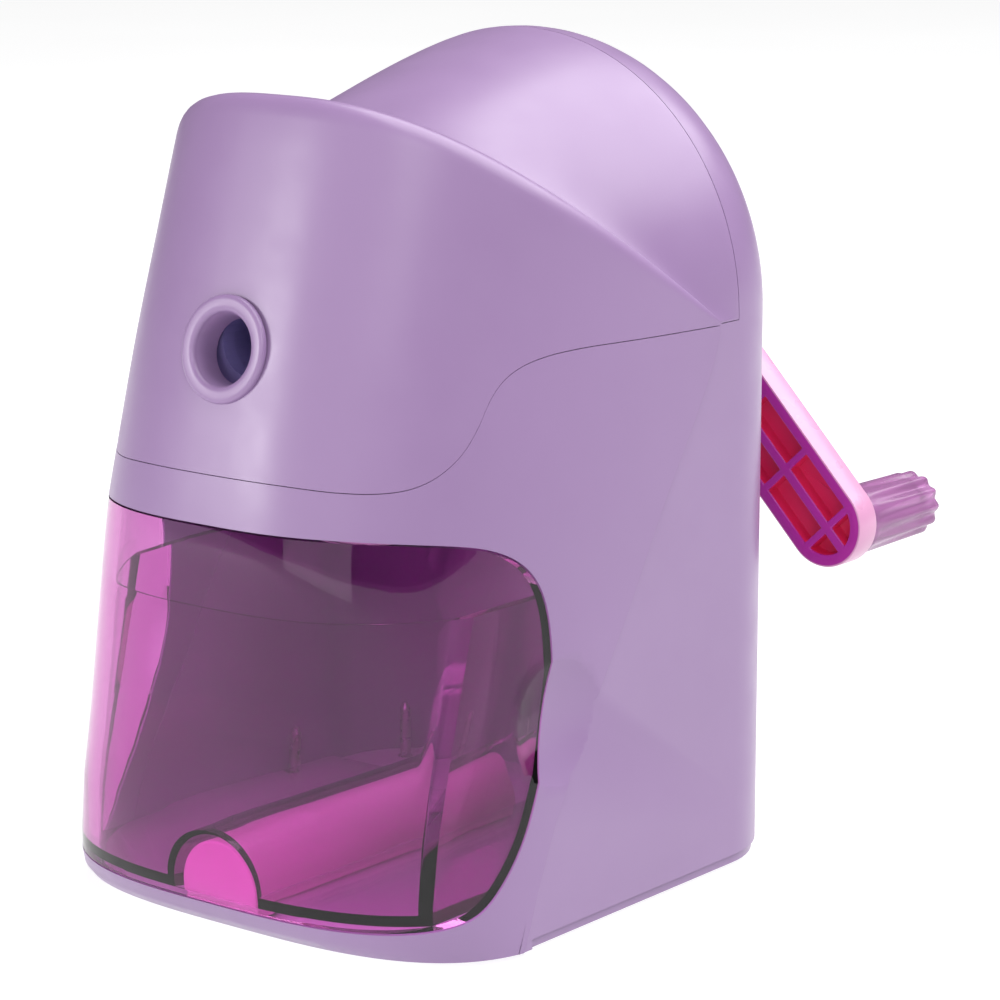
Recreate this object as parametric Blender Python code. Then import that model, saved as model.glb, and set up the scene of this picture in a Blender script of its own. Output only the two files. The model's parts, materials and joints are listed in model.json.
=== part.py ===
"""Hand-crank pencil sharpener with a clear shavings drawer.

X is across the body, -Y is the front with the pencil hole, +Z is up. The origin is on the underside
of the anti-slip pad. Sizes below are in millimetres, and to_mesh() turns them into metres.
"""

import math

import bmesh
import bpy
import numpy as np
from mathutils import Matrix, Vector

MM = 0.001
GAP = 0.3

# Body
HALF_WIDTH = 41.5
AXIS_Z = 87.0
FLOOR_Z = 0.8
WALL = 2.2
REAR_Y = 47.0
REAR_FILLET = 17.0
BAND_Y = 29.0
MASK_PROUD = 0.8

# Side view of the front, as (z, y) from the bottom up, and of the crease where the front meets the sides
FRONT_LINE = ((0.8, -41.0), (3, -44.0), (8, -45.8), (30, -46.6), (60, -45.8), (70, -43.9), (87, -40.0),
              (105, -34.6), (124.3, -28.5))
CREASE_LINE = ((0.8, -23.6), (4, -22.3), (14, -18.6), (24, -13.3), (36, -6.2), (48, 1.4), (60, 8.4),
               (70, 14.8), (76, 18.6), (81, 21.3), (84.5, 22.7), (87, 23.0))
CREASE_TURN = 0.25
RIDGE_ROUND = 5.0
SADDLE_SAG = 13.7

# Parting line between cover and body, as (y, z) in side view
PARTING_LINE = ((-70, 69.3), (-44, 69.3), (-40, 68.7), (-36, 68.6), (-32.5, 69.2), (-29, 70.9),
                (-25.6, 73.8), (-23.3, 76.9), (-21.1, 80.6), (-19, 83.0), (-16, 84.8), (-12, 85.9),
                (-7.5, 86.4), (-2, 86.6), (BAND_Y, 86.6))

# Drawer window in side view, from its front bottom corner round to its front top corner
WINDOW_LINE = ((-70, 5.2), (-44, 5.2), (-38, 5.6), (-33, 6.4), (-29.4, 8.2), (-25.4, 12.6), (-22, 17.8),
               (-18.9, 25), (-16.5, 32), (-15.1, 39), (-14.7, 46), (-15.2, 51), (-16.6, 54.6), (-18.8, 57.1),
               (-22, 59.1), (-26.6, 60.5), (-35, 61.6), (-45, 62.5), (-70, 62.5))
SKIN = 2.0
TRAY_HALF_WIDTH = 32.4
TRAY_BACK_Y = 20.0
TRAY_FLOOR_Z = 6.4
TRAY_TOP_Z = 50.0
TRAY_WALL = 1.6
RAIL_HALF_WIDTH = 7.2
RAIL_TOP_Z = 14.6
RAIL_FRONT_Y = -41.6
RAIL_BACK_Y = 17.0

# Finger hollow on each side, across the drawer's rear edge, as (distance from the middle, y, z)
HOLLOW_FLOOR = (38.8, -18.6, 35.2)
HOLLOW_RADIUS = 27.0

# Crank
ARM_LENGTH = 52.8
KNOB_REACH = 53.6
ARM_ANGLE = math.radians(-46.5)
ARM_Y = 61.0
ARM_THICK = 5.0
ARM_RADIUS = 7.0
ARM_POCKET = 2.6
KNOB_LENGTH = 21.0
KNOB_RADIUS = 5.4
COLLAR_RADIUS = 5.6
SHAFT_RADIUS = 3.0

# Mechanism
MODULE = 0.9
RING_TEETH = 30
PINION_TEETH = 10
MESH_Y = -11.5
CUTTER_TILT = math.radians(10.8)
CUTTER_RADIUS = 4.5
AXLE_RADIUS = 1.25
AXLE_HOLE_RADIUS = 1.65
FRAME_BORE = 17.6
FRAME_BACK_Y = 27.0

LAVENDER = (0.50, 0.36, 0.62)
MAGENTA = (0.45, 0.06, 0.36)
PINK = (0.83, 0.42, 0.68)


def clear_scene():
    for obj in list(bpy.data.objects):
        bpy.data.objects.remove(obj, do_unlink=True)


def material(name, color, roughness=0.4, metallic=0.0, alpha=1.0):
    found = bpy.data.materials.get(name)
    if found:
        return found
    made = bpy.data.materials.new(name)
    made.use_nodes = True
    shader = made.node_tree.nodes["Principled BSDF"]
    shader.inputs["Base Color"].default_value = (*color, 1)
    shader.inputs["Roughness"].default_value = roughness
    shader.inputs["Metallic"].default_value = metallic
    shader.inputs["Alpha"].default_value = alpha
    made.diffuse_color = (*color, alpha)
    return made


def lavender():
    return material("lavender_plastic", LAVENDER, 0.38)


def grey():
    return material("grey_plastic", (0.55, 0.55, 0.6), 0.5)


def steel():
    return material("steel", (0.6, 0.6, 0.62), 0.3, 1.0)


def pink():
    return material("pink_plastic", PINK, 0.35)


def clear_magenta():
    return material("clear_magenta", MAGENTA, 0.08, alpha=0.5)


# ---------------------------------------------------------------- meshes


def to_mesh(name, points, faces):
    mesh = bpy.data.meshes.new(name)
    mesh.from_pydata([tuple(c * MM for c in p) for p in points], [], faces)
    shape = bmesh.new()
    shape.from_mesh(mesh)
    bmesh.ops.recalc_face_normals(shape, faces=shape.faces)
    if shape.calc_volume(signed=True) < 0:
        bmesh.ops.reverse_faces(shape, faces=shape.faces)
    shape.to_mesh(mesh)
    shape.free()
    return mesh


def add(name, mesh, look=None):
    obj = bpy.data.objects.new(name, mesh)
    bpy.context.scene.collection.objects.link(obj)
    if look:
        mesh.materials.clear()
        mesh.materials.append(look)
        mesh.shade_smooth()
        mesh.set_sharp_from_angle(angle=math.radians(32))
    else:
        obj.hide_render = True
        obj.display_type = "WIRE"
    return obj


def loft(name, rings, look=None):
    """A closed solid through rings that have the same number of points."""
    count = len(rings[0])
    points = [p for ring in rings for p in ring]
    faces = [list(range(count)), list(range(len(points) - count, len(points)))[::-1]]
    for row in range(len(rings) - 1):
        for i in range(count):
            j = (i + 1) % count
            a, b = row * count, (row + 1) * count
            faces.append((a + j, a + i, b + i, b + j))
    return add(name, to_mesh(name, points, faces), look)


def tube_loft(name, outer, inner, look=None):
    """A closed solid between outer rings and inner rings, which have the same counts."""
    count, rows = len(outer[0]), len(outer)
    points = [p for ring in outer + inner for p in ring]
    faces = []
    for i in range(count):
        j = (i + 1) % count
        for row in range(rows - 1):
            a, b = row * count, (row + 1) * count
            c, d = a + rows * count, b + rows * count
            faces.append((a + j, a + i, b + i, b + j))
            faces.append((c + i, c + j, d + j, d + i))
        last, inner_last = (rows - 1) * count, (2 * rows - 1) * count
        faces.append((i, j, j + rows * count, i + rows * count))
        faces.append((last + j, last + i, inner_last + i, inner_last + j))
    return add(name, to_mesh(name, points, faces), look)


def box(name, low, high, look=None):
    ring = [(low[0], low[1]), (high[0], low[1]), (high[0], high[1]), (low[0], high[1])]
    return loft(name, [[(x, y, z) for x, y in ring] for z in (low[2], high[2])], look)


def side_prism(name, outline, half_width, look=None):
    """A (y, z) outline extruded across the body."""
    return loft(name, [[(x, y, z) for y, z in outline] for x in (-half_width, half_width)], look)


def circle(radius, count):
    angles = [2 * math.pi * i / count for i in range(count)]
    return [(radius * math.cos(a), radius * math.sin(a)) for a in angles]


def turned(name, profile, look=None, count=24, place=None):
    """A solid turned about the Y axis at AXIS_Z from (y, radius) pairs. place moves it elsewhere."""
    rings = [[(x, y, z) for x, z in circle(r, count)] for y, r in profile]
    made = loft(name, rings, look)
    move(made, place)
    return made


def ring_turned(name, outer, inner, look=None, count=32, place=None):
    outer = [[(x, y, z) for x, z in circle(r, count)] for y, r in outer]
    inner = [[(x, y, z) for x, z in circle(r, count)] for y, r in inner]
    made = tube_loft(name, outer, inner, look)
    move(made, place)
    return made


def at(x, y, z):
    return Matrix.Translation(Vector((x, y, z)) * MM)


def move(obj, place):
    obj.matrix_world = at(0, 0, AXIS_Z) if place is None else place


def boolean(obj, cutter, operation="DIFFERENCE"):
    step = obj.modifiers.new(f"{operation.lower()} {cutter.name}", "BOOLEAN")
    step.operation = operation
    step.solver = "EXACT"
    step.object = cutter


def union(obj, other):
    boolean(obj, other, "UNION")


# ---------------------------------------------------------------- outer form


def along(line, where):
    """A smooth value along a line of (position, value) knots, without overshoot."""
    x, y = (np.array(c, float) for c in zip(*line))
    step = np.diff(x)
    slope = np.diff(y) / step
    tangent = np.concatenate([slope[:1], (slope[:-1] + slope[1:]) / 2, slope[-1:]])
    k = int(np.clip(np.searchsorted(x, where) - 1, 0, len(step) - 1))
    t = min(max((where - x[k]) / step[k], 0), 1)
    blend = (2 * t**3 - 3 * t**2 + 1, t**3 - 2 * t**2 + t, 3 * t**2 - 2 * t**3, t**3 - t**2)
    return float(blend[0] * y[k] + blend[1] * step[k] * tangent[k]
                 + blend[2] * y[k + 1] + blend[3] * step[k] * tangent[k + 1])


def crease_height(z):
    """The height on the crease of the section that reaches height z on the front's centre line."""
    knee, top, crest = 50.0, CREASE_LINE[-1][0], FRONT_LINE[-1][0]
    if z <= knee:
        return z
    return knee + (top - knee) * (1 - (1 - (z - knee) / (crest - knee)) ** 2)


def mask_section(z, inset, turns):
    """One section of the front, from the left crease round the centre line to the right crease."""
    rise = max(z, FLOOR_Z) / FRONT_LINE[-1][0]
    end_z = crease_height(z)
    end = np.array((along(CREASE_LINE, end_z), end_z))
    centre = np.array((along(FRONT_LINE, z) + inset, z))
    if z >= FRONT_LINE[-1][0]:
        centre[1] -= inset
    half = HALF_WIDTH + 0.15 + MASK_PROUD * rise - inset
    power = 2 / (3.1 - 0.4 * rise)
    first = math.sin(CREASE_TURN) ** power
    ring = []
    for turn in turns:
        here = CREASE_TURN + turn * (1 - 2 * CREASE_TURN / math.pi)
        across = -half * math.copysign(abs(math.cos(here) / math.cos(CREASE_TURN)) ** power, math.cos(here))
        y, z_here = end + (centre - end) * (math.sin(here) ** power - first) / (1 - first)
        ring.append(np.array((across, y, z_here)))
    return ring


def arch_section(y, inset, turns):
    radius = HALF_WIDTH - inset
    return [np.array((-radius * math.cos(t), y, AXIS_Z + radius * math.sin(t))) for t in turns]


def saddle_section(ridge, arch, part, turns):
    """One section of the scooped top, between the ridge and the full arch."""
    sag = SADDLE_SAG * (1 - part) ** 1.3 * (1 - math.exp(-part / 0.15))
    ring = []
    for start, stop, turn in zip(ridge, arch, turns):
        point = start + (stop - start) * part
        inward = np.array((0, 0, AXIS_Z)) - point
        inward[1] = 0
        depth = sag * math.sin(turn) ** 0.8
        ring.append(point + inward / max(np.linalg.norm(inward), 1) * depth)
    return ring


def front_form(name, inset=0.0, bottom=FLOOR_Z, columns=33, rows=14, look=None):
    """The front, the hood's rounded ridge and the saddle behind it, as one closed solid."""
    turns = [math.pi * i / (columns - 1) for i in range(columns)]
    turns[0], turns[-1] = 0.0, math.pi
    crest = FRONT_LINE[-1][0]
    heights = [FLOOR_Z, 3, 5.6, 9] + list(np.linspace(18, 96, rows - 6)) + [106, 115]
    sections = [mask_section(z, inset, turns) for z in heights]
    sections[0] = [np.array((p[0], p[1], bottom)) for p in sections[0]]
    ridge = mask_section(crest, inset, turns)
    arch = arch_section(BAND_Y, inset, turns)
    first = saddle_section(ridge, arch, 0.12, turns)
    before, after = [], []
    for corner, front, back, turn in zip(ridge, sections[-1], first, turns):
        reach = RIDGE_ROUND * math.sin(turn) ** 0.6
        to_front, to_back = front - corner, back - corner
        before.append(corner + to_front * min(reach / max(np.linalg.norm(to_front), 1e-6), 0.9))
        after.append(corner + to_back * min(reach / max(np.linalg.norm(to_back), 1e-6), 0.9))
    for part in (0, 0.25, 0.5, 0.75, 1):
        ends = ((1 - part) ** 2, 2 * part * (1 - part), part**2)
        sections.append([ends[0] * a + ends[1] * b + ends[2] * c for a, b, c in zip(before, ridge, after)])
    for part in (0.18, 0.3, 0.45, 0.62, 0.8, 1.0):
        sections.append(saddle_section(ridge, arch, part, turns))
    return loft(name, sections, look)


def side_form(name, inset=0.0, bottom=FLOOR_Z):
    """The flat sides behind the crease, up to the level of the crank's axis."""
    heights = [bottom] + [float(z) for z in np.linspace(6, 86, 11)] + [AXIS_Z - 0.02]
    outline = [(along(CREASE_LINE, z) - 1.0, z) for z in heights]
    outline += [(BAND_Y + 1, AXIS_Z - 0.02), (BAND_Y + 1, bottom)]
    return side_prism(name, outline, HALF_WIDTH - inset)


def rear_form(name, inset=0.0, bottom=FLOOR_Z, columns=29):
    """The rear arch with its rounded edge, down to the floor."""
    turns = [math.pi * i / (columns - 1) for i in range(columns)]
    start = REAR_Y - REAR_FILLET
    round_radius = REAR_FILLET - inset
    rings = [(BAND_Y - 0.6 * bool(inset), 0.0)]
    for i in range(7):
        angle = math.pi / 2 * i / 6
        rings.append((start + round_radius * math.sin(angle), round_radius * (1 - math.cos(angle))))
    sections = []
    for y, narrower in rings:
        arch = arch_section(y, inset + narrower, turns)
        sections.append([(arch[0][0], y, bottom)] + arch + [(arch[-1][0], y, bottom)])
    return loft(name, sections)


def parting_prism(name, lift, steps=22):
    start, stop = PARTING_LINE[1][0], PARTING_LINE[-2][0]
    low = [(-70, PARTING_LINE[0][1] + lift)]
    for y in np.linspace(start, stop, steps):
        low.append((float(y), along(PARTING_LINE, y) + lift))
    back = BAND_Y - lift
    outline = low + [(back, PARTING_LINE[-1][1] + lift), (back, 150), (-70, 150)]
    return side_prism(name, outline, 60)


def window_prism(name, inset):
    """The drawer's window, seen from the side and cut right across the front."""
    outline = []
    for index, here in enumerate(WINDOW_LINE):
        before, after = WINDOW_LINE[index - 1], WINDOW_LINE[(index + 1) % len(WINDOW_LINE)]
        run = np.array(after) - np.array(before)
        inward = np.array((-run[1], run[0])) / np.linalg.norm(run)
        outline.append(tuple(np.array(here) + inward * inset))
    return side_prism(name, outline, 60)


def finger_hollow(name, side, columns=36):
    distance, y, z = HOLLOW_FLOOR
    mesh = bpy.data.meshes.new(name)
    shape = bmesh.new()
    bmesh.ops.create_uvsphere(shape, u_segments=columns, v_segments=columns, radius=HOLLOW_RADIUS * MM)
    shape.to_mesh(mesh)
    shape.free()
    obj = add(name, mesh)
    obj.matrix_world = at(side * (distance + HOLLOW_RADIUS), y, z)
    return obj


# ---------------------------------------------------------------- housing


def shell(name, look):
    """The whole hollow form, before it is parted."""
    form = front_form(name, look=look)
    for part in (side_form(f"{name}_sides"), rear_form(f"{name}_rear")):
        union(form, part)
    hollow = (front_form(f"{name}_front_hollow", WALL, -5, columns=21, rows=10),
              side_form(f"{name}_side_hollow", WALL, -5),
              rear_form(f"{name}_rear_hollow", WALL, -5, columns=19))
    for part in hollow:
        boolean(form, part)
    return form


def build_main_body():
    body = shell("main_body", lavender())
    boolean(body, parting_prism("cover_space", 0.0))
    boolean(body, window_prism("window", 0.0))
    for side in (-1, 1):
        boolean(body, finger_hollow(f"finger_hollow_{side}", side))
    for index, (x, y) in enumerate(base_screw_places(), 1):
        union(body, screw_post(f"base_post_{index}", x, y))
    for index, (x, z) in enumerate(frame_screw_places()):
        post = ring_turned(f"frame_post_{index}", [(FRAME_BACK_Y + GAP, 3.4), (REAR_Y - 1, 3.4)],
                           [(FRAME_BACK_Y + GAP, 1.3), (REAR_Y - 1, 1.3)], count=16, place=at(x, 0, z))
        union(body, post)
    boolean(body, turned("shaft_hole", [(REAR_Y - 8, 5.6), (REAR_Y + 5, 5.6)]))


def base_screw_places():
    """The rear pair stands further in, clear of the rounded rear edge."""
    return [(side * reach, y) for reach, y in ((36.9, 14.0), (31.0, 37.0)) for side in (-1, 1)]


def screw_post(name, x, y):
    """A post that takes a base screw. A web joins it to the side wall if it stands away from the wall."""
    low, high = 4.4, 22.0
    rings = [[[(x + a, y + b, z) for a, b in circle(radius, 14)] for z in (low, high)] for radius in (2.5, 1.2)]
    post = tube_loft(name, rings[0], rings[1])
    if abs(x) < 35:
        near, far = sorted((math.copysign(33.2, x), math.copysign(39.2, x)))
        union(post, box(f"{name}_web", (near, y - 0.8, low), (far, y + 0.8, high)))
    return post


def build_top_cover():
    cover = shell("top_cover", lavender())
    boolean(cover, parting_prism("cover_region", GAP), "INTERSECT")
    boolean(cover, turned("inlet_hole", [(-60, 6.5), (-25, 6.5)]))


def build_inlet():
    lean = Matrix.Rotation(math.radians(-12.5), 4, "X")
    place = at(0, -40.0, AXIS_Z) @ lean
    ring_turned("inlet_bezel", [(-1.6, 7.0), (-1.0, 7.9), (-0.35, 7.9), (-0.35, 6.1), (3.6, 6.1)],
                [(-1.6, 5.6), (-1.0, 5.2), (-0.35, 5.1), (0.5, 5.1), (3.6, 5.1)],
                lavender(), 26, place)
    ring_turned("pencil_guide", [(-35.2, 7.4), (-33.8, 7.4), (-33.8, 5.9), (-17.4, 5.9)],
                [(-35.2, 4.8), (-33.8, 4.7), (-33, 4.6), (-17.4, 4.6)], grey(), 24)


def base_outline(inset, front_z=3.0, columns=25):
    """The plan of the body's floor, inside its wall."""
    turns = [math.pi * i / (columns - 1) for i in range(columns)]
    front = [(p[0], p[1]) for p in mask_section(front_z, inset, turns)]
    radius = REAR_FILLET - inset
    half = HALF_WIDTH - inset
    start = REAR_Y - REAR_FILLET
    outline = front
    for side in (1, -1):
        corner = []
        for i in range(7):
            angle = math.pi / 2 * i / 6
            corner.append((side * (half - radius * (1 - math.cos(angle))), start + radius * math.sin(angle)))
        outline = outline + (corner if side == 1 else corner[::-1])
    return outline


def build_base():
    outline = base_outline(WALL + GAP + 0.3)
    plate = loft("base_plate", [[(x, y, z) for x, y in outline] for z in (1.6, 4.0)], grey())
    for index, (x, y) in enumerate(base_screw_places(), 1):
        flip = at(x, y, 0) @ Matrix.Rotation(math.radians(90), 4, "X")
        hole = turned(f"base_hole_{index}", [(0, 2.4), (2.8, 2.4), (2.8, 1.4), (8, 1.4)], None, 16, flip)
        boolean(plate, hole)
        turned(f"base_screw_{index}", [(1.4, 1.7), (1.7, 2.0), (2.5, 2.0), (2.5, 0.9), (12, 0.9), (13, 0.4)],
               steel(), 16, flip)
    pad = [[(x, y, z) for x, y in ((-26, -30), (26, -30), (26, 34), (-26, 34))] for z in (0, 1.3)]
    pad = loft("anti_slip_pad", pad, material("dark_rubber", (0.08, 0.08, 0.09), 0.8))
    edge = pad.modifiers.new("rounded", "BEVEL")
    edge.width = 0.4 * MM
    edge.segments = 1
    dome = dome_ring(RAIL_HALF_WIDTH, RAIL_TOP_Z, 4.3)
    loft("drawer_guide_rail", [[(x, y, z) for x, z in dome] for y in (RAIL_FRONT_Y, RAIL_BACK_Y)],
         pink())


# ---------------------------------------------------------------- drawer


def dome_ring(half, top, low, count=13):
    shoulder = top - half
    arc = [math.pi * i / (count - 1) for i in range(count)]
    return [(-half, low)] + [(-half * math.cos(t), shoulder + half * math.sin(t)) for t in arc] + [(half, low)]


def inside_front(name, inset, low, high):
    """A block whose front follows the body's front at a depth of inset."""
    form = front_form(name, inset, -5, columns=25, rows=10)
    union(form, box(f"{name}_back", (low[0] - 0.5, -24, -4), (high[0] + 0.5, 60, 62)))
    boolean(form, box(f"{name}_limits", low, high), "INTERSECT")
    return form


def build_drawer():
    tray = front_form("drawer_tray", look=clear_magenta())
    boolean(tray, window_prism("drawer_outline", GAP), "INTERSECT")
    boolean(tray, front_form("skin_hollow", SKIN, -5))
    union(tray, inside_front("tray_block", SKIN / 2, (-TRAY_HALF_WIDTH, -60, TRAY_FLOOR_Z),
                             (TRAY_HALF_WIDTH, TRAY_BACK_Y, TRAY_TOP_Z)))
    inner = TRAY_HALF_WIDTH - TRAY_WALL
    room = inside_front("tray_room", SKIN + 0.25, (-inner, -60, TRAY_FLOOR_Z + TRAY_WALL),
                        (inner, TRAY_BACK_Y - TRAY_WALL, TRAY_TOP_Z + 9))
    hump = dome_ring(RAIL_HALF_WIDTH + 2.4, RAIL_TOP_Z + 2.6, TRAY_FLOOR_Z + 0.5)
    boolean(room, loft("tunnel_roof", [[(x, y, z) for x, z in hump] for y in (-60, 30)]))
    boolean(tray, room)
    tunnel = dome_ring(RAIL_HALF_WIDTH + 1.0, RAIL_TOP_Z + 1.1, 2)
    boolean(tray, loft("tunnel", [[(x, y, z) for x, z in tunnel] for y in (RAIL_FRONT_Y - 0.8, 30)]))
    for side in (-1, 1):
        boolean(tray, finger_hollow(f"tray_hollow_{side}", side))


# ---------------------------------------------------------------- mechanism


def frame_screw_places():
    return [(sx * 15.0, AXIS_Z + sz * 15.0) for sx in (-1, 1) for sz in (-1, 1)]


def gear_outline(teeth, tip, root, tip_share, root_share, turn=0.0):
    """A gear's outline, with each tooth's width at its tip and its root as shares of the pitch."""
    pitch = 2 * math.pi / teeth
    outline = []
    for tooth in range(teeth):
        middle = turn + tooth * pitch
        for radius, share in ((root, -root_share), (tip, -tip_share), (tip, tip_share), (root, root_share)):
            angle = middle + share * pitch / 2
            outline.append((radius * math.cos(angle), radius * math.sin(angle)))
    return outline


def build_frame():
    frame = ring_turned("mechanism_frame",
                        [(-20.5, 19.4), (FRAME_BACK_Y, 19.4)],
                        [(-20.5, FRAME_BORE), (FRAME_BACK_Y, FRAME_BORE)],
                        grey(), 36)
    half = 19.0
    union(frame, box("frame_plate", (-half, FRAME_BACK_Y - 2.6, AXIS_Z - half),
                     (half, FRAME_BACK_Y, AXIS_Z + half)))
    boolean(frame, box("chip_slot", (-8.5, -9.0, AXIS_Z - 30), (8.5, 20, AXIS_Z - 5)))
    boolean(frame, turned("bushing_seat", [(FRAME_BACK_Y - 8, 5.6), (FRAME_BACK_Y + 5, 5.6)]))
    for index, (x, z) in enumerate(frame_screw_places(), 1):
        place = at(x, 0, z)
        boolean(frame, turned(f"frame_hole_{index}", [(FRAME_BACK_Y - 3.5, 1.7), (FRAME_BACK_Y + 3, 1.7)],
                              None, 14, place))
        boolean(frame, turned(f"driver_way_{index}", [(FRAME_BACK_Y - 9, 3.4), (FRAME_BACK_Y - 2.62, 3.4)],
                              None, 18, place))
        start = FRAME_BACK_Y - 2.6
        turned(f"frame_screw_{index}", [(start - 2.2, 2.3), (start - 1.9, 2.8), (start - 0.3, 2.8),
                                        (start - 0.3, 0.95), (start + 8, 0.95), (start + 9, 0.4)],
               steel(), 16, place)
    ring_gear()
    for name, y, flange in (("frame_bushing", FRAME_BACK_Y, 1.3), ("rear_bushing", REAR_Y, 1.2)):
        ring_turned(name, [(y - 3.6, 5.2), (y + GAP, 5.2), (y + GAP, 7.0), (y + flange, 7.0)],
                    [(y - 3.6, 3.35), (y, 3.35), (y + 0.6, 3.35), (y + flange, 3.35)],
                    material("brass", (0.75, 0.55, 0.25), 0.35, 1.0), 24)


def ring_gear():
    pitch_radius = MODULE * RING_TEETH / 2
    teeth = gear_outline(RING_TEETH, pitch_radius - 0.75, pitch_radius + 1.15, 0.26, 0.46, math.pi / 2)
    rim = circle(FRAME_BORE - GAP, len(teeth))
    rim = rim[len(teeth) // 4:] + rim[:len(teeth) // 4]
    rings = [[[(x, y, z) for x, z in ring] for y in (MESH_Y - 1.8, MESH_Y + 1.8)] for ring in (rim, teeth)]
    move(tube_loft("ring_gear", rings[0], rings[1], steel()), None)


def cutter_place():
    """The cutter's own frame: local Y is its tilted axis, and the origin is its middle in mesh."""
    offset = MODULE * (RING_TEETH - PINION_TEETH) / 2
    return at(0, MESH_Y, AXIS_Z + offset) @ Matrix.Rotation(-CUTTER_TILT, 4, "X")


def build_cutter():
    place = cutter_place()
    pitch_radius = MODULE * PINION_TEETH / 2
    teeth = gear_outline(PINION_TEETH, pitch_radius + 0.6, pitch_radius - 1.3, 0.24, 0.5,
                         math.pi / 2 + math.pi / PINION_TEETH)
    bore = [(AXLE_HOLE_RADIUS * x, AXLE_HOLE_RADIUS * z) for x, z in
            [(math.cos(math.atan2(b, a)), math.sin(math.atan2(b, a))) for a, b in teeth]]
    rings = [[[(x, y, z) for x, z in ring] for y in (-1.4, 1.4)] for ring in (teeth, bore)]
    move(tube_loft("cutter_pinion", rings[0], rings[1], steel()), place)

    flutes, rows, twist = 12, 5, math.radians(50)
    start, stop = 2.4, 25.0
    outer, inner = [], []
    for row in range(rows + 1):
        part = row / rows
        y = start + (stop - start) * part
        spin = twist * part
        ring = []
        for i in range(2 * flutes):
            angle = spin + math.pi * i / flutes
            radius = CUTTER_RADIUS - 0.1 if i % 2 == 0 else CUTTER_RADIUS - 0.75
            ring.append((radius * math.cos(angle), y, radius * math.sin(angle)))
        outer.append(ring)
        inner.append([(x * AXLE_HOLE_RADIUS / math.hypot(x, z), y, z * AXLE_HOLE_RADIUS / math.hypot(x, z))
                      for x, y, z in ring])
    move(tube_loft("helical_cutter", outer, inner, steel()), place)
    turned("cutter_axle", [(-5.2, AXLE_RADIUS), (28.6, AXLE_RADIUS)], steel(), 14, place)


def build_carrier():
    carrier = ring_turned("cutter_carrier", [(-17.0, 12.2), (-14.6, 12.2)], [(-17.0, 4.9), (-14.6, 4.9)],
                          grey(), 32)
    rear = turned("carrier_back", [(15.0, 11.0), (19.0, 11.0), (19.0, 6.0), (22.6, 6.0)], None, 32)
    union(carrier, rear)
    for side in (-1, 1):
        arc = [math.radians(-90 + side * (22 + 8 * i)) for i in range(7)]
        outline = [(11.3 * math.cos(a), 11.3 * math.sin(a)) for a in arc]
        outline += [(8.4 * math.cos(a), 8.4 * math.sin(a)) for a in reversed(arc)]
        bar = loft(f"carrier_bar_{side}", [[(x, y, z) for x, z in outline] for y in (-15.5, 16.0)])
        move(bar, None)
        union(carrier, bar)
    boolean(carrier, turned("carrier_shaft_bore", [(17.8, SHAFT_RADIUS + GAP), (30, SHAFT_RADIUS + GAP)]))
    boolean(carrier, turned("axle_way", [(-12, AXLE_HOLE_RADIUS), (40, AXLE_HOLE_RADIUS)], None, 14,
                            cutter_place()))


# ---------------------------------------------------------------- crank


def build_crank():
    turned("crank_shaft", [(18.2, 2.4), (18.8, SHAFT_RADIUS), (ARM_Y + 2.6, SHAFT_RADIUS)], steel(), 24)
    ring_turned("shaft_circlip", [(29.0, 4.9), (29.8, 4.9)], [(29.0, 3.3), (29.8, 3.3)], steel(), 20)
    place = at(KNOB_REACH * math.cos(ARM_ANGLE), 0, AXIS_Z + KNOB_REACH * math.sin(ARM_ANGLE))
    build_arm(place)
    turned("crank_screw", [(ARM_Y + 3.3, 3.2), (ARM_Y + ARM_THICK + 0.5, 3.2), (ARM_Y + ARM_THICK + 1.2, 2.2)],
           steel(), 20)
    knob_start = ARM_Y + ARM_THICK + 0.5
    knob_end = knob_start + KNOB_LENGTH
    turned("knob_pin", [(ARM_Y + 3.6, 1.4), (ARM_Y + 3.9, 1.7), (knob_end - 2.6, 1.7), (knob_end - 2.6, 2.8),
                        (knob_end - 1.2, 2.8)], steel(), 18, place)
    build_knob(place, knob_start)


def capsule(length, radius, count=12):
    """A long outline with round ends, from the hub at the origin to the knob at +X."""
    arc = [math.pi * i / count for i in range(count + 1)]
    far = [(length + radius * math.sin(t), -radius * math.cos(t)) for t in arc]
    near = [(-radius * math.sin(t), radius * math.cos(t)) for t in arc]
    return far + near


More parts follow.
